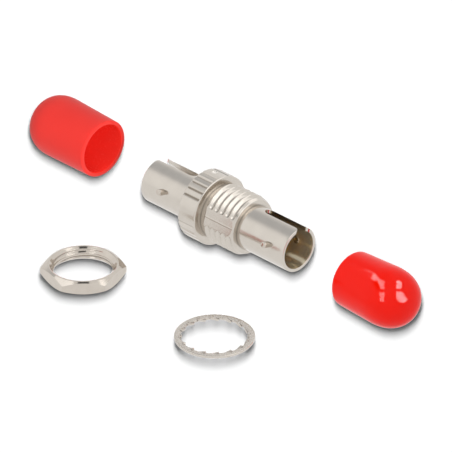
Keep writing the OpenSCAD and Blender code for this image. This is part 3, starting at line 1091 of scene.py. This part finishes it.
@dataclass
class DustCap:
    """A dip-moulded cap lying on its side, in millimetres.

    Attributes:
        piece: Which piece it is.
        node: The CAD node that it stands for.
        finish: Finish of its outside.
        mouth: Place of its mouth's middle along X and Y.
        turn: Direction that its dome points in, in degrees from the X axis.
        mouth_r: Outer radius at the mouth.
        dome_r: Outer radius where the dome begins.
        length: Length over all.
        dome_depth: Length of the dome.
        wall: Thickness of the skirt.
        top_wall: Thickness at the dome's top, where the dip gathered.
        squareness: Power of the dome's curve, 2 for an ellipse and more for a squarer one.
        rim_r: Rounding of the mouth's edges.
        middle_share: Height of a point in the hollow that every inner face looks at, as a share.
        skirt_step: Longest face along the skirt.
        steps: Faces round the axis.
    """
    piece: Piece
    node: str
    finish: Finish
    mouth: Point
    turn: float
    mouth_r: float
    dome_r: float
    length: float
    dome_depth: float
    wall: float = 0.65
    top_wall: float = 1.2
    squareness: float = 2.3
    rim_r: float = 0.2
    middle_share: float = 0.4
    skirt_step: float = 0.6
    steps: int = 128

    def dome(self, r: float, depth: float, count: int = 28) -> list[Point]:
        """The squared dome's curve, from its widest ring to its top.

        Args:
            r: Radius of the widest ring.
            depth: Height of the dome.
            count: Steps of the curve.

        Returns:
            Its points as (radius, height).
        """
        base = self.length - self.dome_depth
        power = 2 / self.squareness
        points = []
        for i in range(count + 1):
            t = math.pi / 2 * i / count
            points.append((r * max(math.cos(t), 0) ** power, base + depth * math.sin(t) ** power))
        return points

    def build(self) -> None:
        """Builds and dresses the cap."""
        outside = [(self.mouth_r, 0)] + self.dome(self.dome_r, self.dome_depth)
        inside = [(self.mouth_r - self.wall, 0)]
        inside += self.dome(self.dome_r - self.wall, self.dome_depth - self.top_wall)
        bm = bmesh.new()
        loop_of(bm, [Vector((r, 0, z)) for r, z in outside + inside[::-1]])
        on_axis = [e for e in bm.edges if all(v.co.x < 1e-6 for v in e.verts)]
        bmesh.ops.delete(bm, geom=on_axis, context="EDGES_FACES")
        round_corners(bm, self.rim_r, 4, lambda co: co.z < 1e-6)
        skirt = self.length - self.dome_depth + 0.01
        split_long_edges(bm, self.skirt_step,
                         lambda a, b: max(a.z, b.z) < skirt and abs(a.z - b.z) > 1)
        spin_all(bm, Z_AXIS, self.steps)
        bm.faces.index_update()
        bm.normal_update()
        inner = [face.index for face in bm.faces if self.is_inside(face)]
        move_to(bm, self.place())
        obj = make_object(bm, self.piece.value, 50)
        dress(obj, self.finish, [self.node])
        # The hollow's faces get the lighter red: painted light where the cap's inside lies in shade.
        obj.data.materials.append(Finish.LIGHTER_INSIDE_VINYL.material())
        for index in inner:
            obj.data.polygons[index].material_index = 1

    def place(self) -> Matrix:
        """Lays the cap on its side along one line of its skirt.

        Returns:
            The matrix that takes it there from upright at the origin.
        """
        lean = math.asin((self.dome_r - self.mouth_r) / (self.length - self.dome_depth))
        return (Matrix.Translation((*self.mouth, FLOOR_Z + self.mouth_r * math.cos(lean)))
                @ Matrix.Rotation(math.radians(self.turn), 4, "Z")
                @ Matrix.Rotation(math.pi / 2 - lean, 4, "Y"))

    def is_inside(self, face: bmesh.types.BMFace) -> bool:
        """Whether a face of the cap, still upright at the origin, looks at the hollow's middle."""
        from_middle = face.calc_center_median() - Z_AXIS * (self.middle_share * self.length)
        return face.normal.dot(from_middle) < 0


# ---------------------------------------------------------------- studio

def stage_object(bm: bmesh.types.BMesh, name: str, material: bpy.types.Material) -> bpy.types.Object:
    """Turns a mesh in metres into an object of the stage.

    Args:
        bm: The mesh, which is freed.
        name: Object name.
        material: Its one material.

    Returns:
        The new object.
    """
    mesh = bpy.data.meshes.new(name)
    bm.to_mesh(mesh)
    bm.free()
    mesh.materials.append(material)
    obj = new_object(name, mesh)
    return obj


def seen_only_by(obj: bpy.types.Object, kept: Ray) -> None:
    """Hides an object from every kind of ray but one."""
    for ray in Ray:
        setattr(obj, f"visible_{ray.value}", ray is kept)


def lights_only(light: bpy.types.Object, receivers: Iterable[bpy.types.Object]) -> None:
    """Lets a lamp or a glowing panel light some objects only.

    Args:
        light: The lamp or panel.
        receivers: The objects that get its light.
    """
    group = bpy.data.collections.new(light.name)
    for obj in receivers:
        group.objects.link(obj)
    light.light_linking.receiver_collection = group


def direction(azimuth: float, elevation: float) -> Vector:
    """Direction at an angle round from the X axis and an angle up, in degrees."""
    a, e = math.radians(azimuth), math.radians(elevation)
    return Vector((math.cos(a) * math.cos(e), math.sin(a) * math.cos(e), math.sin(e)))


@dataclass(frozen=True)
class LightCard:
    """A studio panel that some of the pieces mirror, given by the directions of its corners.

    Attributes:
        name: Object name.
        corners: Azimuth and elevation of each corner, in degrees, as seen from its centre.
        strength: Brightness added to what is behind it, where 1 is the white background.
        pieces: The pieces that mirror it. With none, all do, and it hides what is behind it.
        colour: Colour of its light.
        distance: How far away it stands, in metres.
        centre: Point that the directions are measured from, in millimetres.
    """
    name: str
    corners: tuple[Point, ...]
    strength: float
    pieces: tuple[Piece, ...] = ()
    colour: str = "#FFFFFF"
    distance: float = 0.45
    centre: Triple = (0, 0, 0)

    def build(self) -> None:
        """Builds the panel, seen by mirror rays only."""
        bm = bmesh.new()
        loop_of(bm, [Vector(self.centre) * MM + direction(*corner) * self.distance
                     for corner in self.corners])
        bmesh.ops.contextual_create(bm, geom=list(bm.edges))
        material = bpy.data.materials.new(self.name)
        tree = empty_tree(material)
        light = add_node(tree, "ShaderNodeEmission", inputs={
            "Color": linear(self.colour), "Strength": self.strength}).outputs[0]
        if self.pieces:
            behind = add_node(tree, "ShaderNodeBsdfTransparent").outputs[0]
            light = add_node(tree, "ShaderNodeAddShader", inputs={0: light, 1: behind}).outputs[0]
        add_node(tree, "ShaderNodeOutputMaterial", inputs={"Surface": light})
        obj = stage_object(bm, self.name, material)
        seen_only_by(obj, Ray.GLOSSY)
        if self.pieces:
            lights_only(obj, [bpy.data.objects[piece.value] for piece in self.pieces])


@dataclass(frozen=True)
class SoftLamp:
    """A round soft lamp that shines on the origin and that no mirror ray sees.

    Attributes:
        name: Object name.
        place: Where it stands, in metres.
        width: Its width, in metres.
        watts: Its power.
        pieces: The pieces that it lights, or none for all.
    """
    name: str
    place: Triple
    width: float
    watts: float
    pieces: tuple[Piece, ...] = ()

    def build(self) -> None:
        """Builds the lamp."""
        data = bpy.data.lights.new(self.name, "AREA")
        data.shape = "DISK"
        data.size = self.width
        data.energy = self.watts
        obj = new_object(self.name, data)
        obj.matrix_world = Matrix.Translation(self.place) @ facing(Vector(self.place))
        obj.visible_glossy = False
        if self.pieces:
            lights_only(obj, [bpy.data.objects[piece.value] for piece in self.pieces])


@dataclass(frozen=True)
class SkyPatch:
    """A soft round patch of the surroundings, which only mirror rays see.

    Attributes:
        centre: Direction of its middle.
        edge_cosine: Cosine of the angle from its middle to its edge.
        level: Red, green and blue at its middle, where 1 is the white background.
    """
    centre: Triple
    edge_cosine: float
    level: Triple

    def over(self, tree: bpy.types.NodeTree, way: bpy.types.NodeSocket,
             base: bpy.types.NodeSocket | tuple[float, ...]) -> bpy.types.NodeSocket:
        """Lays the patch over the rest of the surroundings.

        Args:
            tree: Node tree of the world.
            way: Direction of the ray.
            base: Colour of the surroundings without the patch.

        Returns:
            Their colour with it.
        """
        toward = add_node(tree, "ShaderNodeVectorMath", {"operation": "DOT_PRODUCT"}, {
            0: way, 1: self.centre})
        share = add_node(tree, "ShaderNodeMapRange", {"interpolation_type": "SMOOTHSTEP"}, {
            "Value": toward.outputs["Value"], "From Min": self.edge_cosine,
            "From Max": 1.0}).outputs[0]
        return add_node(tree, "ShaderNodeMix", {"data_type": "RGBA"}, {
            0: share, 6: base, 7: (*self.level, 1)}).outputs[2]


@dataclass(frozen=True)
class LightTable:
    """An opal light table: lamps and masks under it leave a soft shadow close below each piece.

    The camera sees the table lit from below. Every other ray sees a plain white floor.

    Attributes:
        half_width: Half its width, in metres.
        opal_share: Share of the light from below that comes through.
        level: Brightness of the open table to the camera, where 1 is white.
        surroundings: Brightness of the surroundings, which light it from below too.
        bounce: Brightness of the plain floor to the pieces' matt sides.
        mask_depth: How far the masks lie below its top, in millimetres.
        lamp_elevations: How steeply each of the lamps shines up, in degrees.
        lamp_width: How wide each lamp looks, in degrees.
        lamp_azimuth: Direction that the lamps stand in, behind the pieces as the camera sees them.
    """
    half_width: float = 3
    opal_share: float = 0.12
    level: float = 1.05
    surroundings: float = 0.9
    bounce: float = 0.85
    mask_depth: float = 3
    lamp_elevations: tuple[float, ...] = (20, 22, 24, 26, 28)
    lamp_width: float = 5
    lamp_azimuth: float = 134.74

    def build(self, eye: Vector) -> None:
        """Builds the table, its masks and its lamps.

        Args:
            eye: Place from which the masks cover the pieces' outlines, in metres.
        """
        table = self.top()
        self.masks(eye)
        self.lamps(table)

    def top(self) -> bpy.types.Object:
        """Builds the table's top.

        Returns:
            The top as an object.
        """
        bm = bmesh.new()
        bmesh.ops.create_grid(bm, x_segments=1, y_segments=1, size=self.half_width)
        bmesh.ops.translate(bm, vec=(0, 0, FLOOR_Z * MM), verts=bm.verts)
        material = bpy.data.materials.new("opal_light_table")
        tree = empty_tree(material)
        rays = add_node(tree, "ShaderNodeLightPath").outputs
        level = add_node(tree, "ShaderNodeMapRange", inputs={
            "Value": rays["Is Diffuse Ray"], "To Min": 1.0, "To Max": self.bounce}).outputs[0]
        plain = add_node(tree, "ShaderNodeEmission", inputs={"Strength": level}).outputs[0]
        share = self.opal_share
        opal = add_node(tree, "ShaderNodeBsdfTranslucent", inputs={
            "Color": (share, share, share, 1)}).outputs[0]
        both = add_node(tree, "ShaderNodeMixShader", inputs={
            0: rays["Is Camera Ray"], 1: plain, 2: opal})
        add_node(tree, "ShaderNodeOutputMaterial", inputs={"Surface": both.outputs[0]})
        return stage_object(bm, "floor", material)

    def masks(self, eye: Vector) -> None:
        """Lays a flat black mask of each piece's outline under the table, seen by shadow rays only.

        Args:
            eye: Place from which the masks cover the outlines.
        """
        depth = (FLOOR_Z - self.mask_depth) * MM
        black = bpy.data.materials.new("black_mask")
        for piece in Piece:
            bm = bmesh.new()
            bm.from_mesh(bpy.data.objects[piece.value].data)
            for v in bm.verts:
                v.co = eye + (v.co - eye) * (depth - eye.z) / (v.co.z - eye.z)
            seen_only_by(stage_object(bm, f"mask_{piece.value}", black), Ray.SHADOW)

    def lamps(self, table: bpy.types.Object) -> None:
        """Sets the lamps in a row below the table, so that each mask's shadow has a long soft edge.

        Args:
            table: The table's top, which alone gets their light.
        """
        count = len(self.lamp_elevations)
        each = math.pi * (self.level - self.opal_share * self.surroundings) / self.opal_share / count
        for elevation in self.lamp_elevations:
            data = bpy.data.lights.new("table_lamp", "SUN")
            data.angle = math.radians(self.lamp_width)
            data.energy = each / math.sin(math.radians(elevation))
            obj = new_object("table_lamp", data)
            obj.matrix_world = facing(direction(self.lamp_azimuth, -elevation))
            lights_only(obj, [table])


# Outlines of the studio windows that the front cap mirrors, as azimuth and elevation in degrees.
WINDOWS: dict[str, tuple[Point, ...]] = {
    "left_high": ((-178, 48), (171, 47), (168, 46.5), (176, 52), (-166, 62), (-144, 74.5),
                  (-85, 57), (-105, 49), (-137, 57.5), (-154, 49.5), (-162, 44.5)),
    "left_low": ((-96, 39), (-79, 46), (-69, 14), (-84, 10)),
    "right_high": ((67, 70), (68, 54), (18, 46), (-9, 57)),
    "right_low": ((-15, 49), (10, 39), (16, 13), (22, 0), (3, -1), (-21, 18)),
}
WINDOW_STRENGTHS = {"left": 13, "right": 22}
SMALL_METAL = (Piece.NUT, Piece.WASHER, Piece.PINS)


@dataclass
class Studio:
    """Camera, white surroundings, light table, soft lamps and the panels that the pieces mirror.

    Attributes:
        azimuth: Direction of the camera round the pieces, in degrees from the negative Y axis.
        elevation: How far up the camera looks down from, in degrees.
        distance: Distance of the camera, in metres.
        focal_pixels: Focal length as a number of pixels of the picture.
        frame_pixels: Width of the picture in pixels.
        sensor_mm: Width of the camera's sensor.
        target: Point in the picture's middle, right and up of the origin, in millimetres.
        clip_start: Nearest distance that the camera sees, in metres.
        open_level: Brightness of the surroundings to matt surfaces.
        patches: Softly dimmer and brighter places in what metal mirrors.
        lamps: The soft lamps over the table.
        cards: The panels.
    """
    azimuth: float = 44.74
    elevation: float = 30.3
    distance: float = 0.9
    focal_pixels: float = 6040.8
    frame_pixels: float = 452
    sensor_mm: float = 36
    target: Point = (0.866, -2.262)
    clip_start: float = 0.05
    open_level: float = 0.9
    patches: tuple[SkyPatch, ...] = (
        SkyPatch((-0.6077, 0.097, 0.788), 0.80, (0.63, 0.645, 0.66)),
        SkyPatch((-0.61, -0.67, 0.42), 0.75, (1.1, 1.1, 1.1)),
    )
    lamps: tuple[SoftLamp, ...] = (
        SoftLamp("soft_key", (0.15, -0.38, 0.5), 0.5, 1.1),
        # Fills the open mouth of the cap that lies with its mouth to the right.
        SoftLamp("mouth_fill", (0.5, -0.2, 0.12), 0.25, 4.3, (Piece.REAR_CAP,)),
    )
    cards: tuple[LightCard, ...] = (
        *(LightCard(f"window_{name}", corners, WINDOW_STRENGTHS[name.split("_")[0]],
                    (Piece.FRONT_CAP,)) for name, corners in WINDOWS.items()),
        *(LightCard(f"soft_{name}", corners, 0.7, SMALL_METAL, distance=0.48)
          for name, corners in WINDOWS.items()),
        # A gentle panel over the viewer's head, which the crests and the collar's edge mirror.
        LightCard("overhead_panel", ((-95, 58), (-44, 36), (7, 58), (-44, 84)), 0.32,
                  (Piece.HOUSING,), distance=0.52),
        # A panel in front of the open mouth brightens the edges that face it and the bore.
        LightCard("front_panel", ((-25, 26), (35, 26), (35, 60), (-25, 60)), 0.9,
                  (Piece.HOUSING,), distance=0.55),
        # A panel behind the front end runs the bright lines of the crests over the top.
        LightCard("back_panel", ((36, 28), (100, 28), (100, 62), (36, 62)), 0.5,
                  (Piece.HOUSING,), distance=0.58),
        # A dark flag over the nut leaves the dark gap between its two bright sides.
        LightCard("black_flag", ((-62, 54), (-28, 54), (40, 82), (-130, 82)), 0.12,
                  distance=0.06, centre=(-7.5, -21.2, -4.4)),
        # A red panel low at the left, mirrored as a thin streak along the front barrel.
        LightCard("red_panel", ((-130.8, -8.4), (-123.2, -8.4), (-123.2, 2.1), (-130.8, 2.1)), 1.0,
                  colour="#BC7A6A", distance=0.0444, centre=(11.5, -3.3, 1)),
    )

    def directions(self) -> tuple[Vector, Vector, Vector]:
        """Works out which way the camera faces.

        Returns:
            Its right, up and backward directions.
        """
        right, back = direction(self.azimuth, 0), direction(self.azimuth - 90, self.elevation)
        return right, back.cross(right), back

    def camera(self) -> Vector:
        """Sets the camera at the photograph's place.

        Returns:
            That place, in metres.
        """
        right, up, back = self.directions()
        data = bpy.data.cameras.new("camera")
        data.sensor_width = self.sensor_mm
        data.lens = self.focal_pixels * data.sensor_width / self.frame_pixels
        data.clip_start = self.clip_start
        obj = new_object("camera", data)
        place = right * self.target[0] * MM + up * self.target[1] * MM + back * self.distance
        turn = Matrix((right, up, back)).transposed().to_4x4()
        obj.matrix_world = Matrix.Translation(place) @ turn
        bpy.context.scene.camera = obj
        return place

    def world(self) -> None:
        """Makes the surroundings, which differ by the kind of ray.

        The camera sees them white, matt surfaces a little dimmer, and metal with their patches.
        """
        world = bpy.data.worlds.new("white_surroundings")
        bpy.context.scene.world = world
        tree = empty_tree(world)
        rays = add_node(tree, "ShaderNodeLightPath").outputs
        way = add_node(tree, "ShaderNodeTexCoord").outputs["Generated"]
        white = mirror = (1.0, 1.0, 1.0, 1.0)
        for patch in self.patches:
            mirror = patch.over(tree, way, mirror)
        level = self.open_level
        soft = add_node(tree, "ShaderNodeMix", {"data_type": "RGBA"}, {
            0: rays["Is Glossy Ray"], 6: (level, level, level, 1), 7: mirror}).outputs[2]
        shown = add_node(tree, "ShaderNodeMath", {"operation": "MAXIMUM"}, {
            0: rays["Is Camera Ray"], 1: rays["Is Transmission Ray"]}).outputs[0]
        colour = add_node(tree, "ShaderNodeMix", {"data_type": "RGBA"}, {
            0: shown, 6: soft, 7: white}).outputs[2]
        light = add_node(tree, "ShaderNodeBackground", inputs={"Color": colour, "Strength": 1.0})
        add_node(tree, "ShaderNodeOutputWorld", inputs={"Surface": light.outputs[0]})

    def build(self) -> None:
        """Builds the whole studio round the finished pieces."""
        eye = self.camera()
        self.world()
        LightTable(surroundings=self.open_level, lamp_azimuth=self.azimuth + 90).build(eye)
        for light in (*self.lamps, *self.cards):
            light.build()
        bpy.context.scene.view_settings.view_transform = "Standard"


def main() -> None:
    """Builds every piece in order, then the studio round them."""
    logging.basicConfig(level=logging.INFO, format="%(name)s: %(message)s")
    AdapterHousing().build()
    BayonetPins().build()
    redress("sleeve_holder", Finish.TURNED_BRASS)
    redress("sleeve_retainer", Finish.TURNED_BRASS)
    redress("split_sleeve", Finish.ZIRCONIA)
    HexNut().build()
    LockWasher().build()
    DustCap(Piece.FRONT_CAP, "front_dust_cap", Finish.GLOSSY_VINYL, mouth=(26.3, 1.1), turn=-3,
            mouth_r=4.3, dome_r=4.58, length=12.4, dome_depth=5.4).build()
    DustCap(Piece.REAR_CAP, "rear_dust_cap", Finish.DULL_VINYL, mouth=(-26.9, 1.9), turn=180,
            mouth_r=4.59, dome_r=4.81, length=13.7, dome_depth=4.7).build()
    Studio().build()


if __name__ == "__main__":
    main()
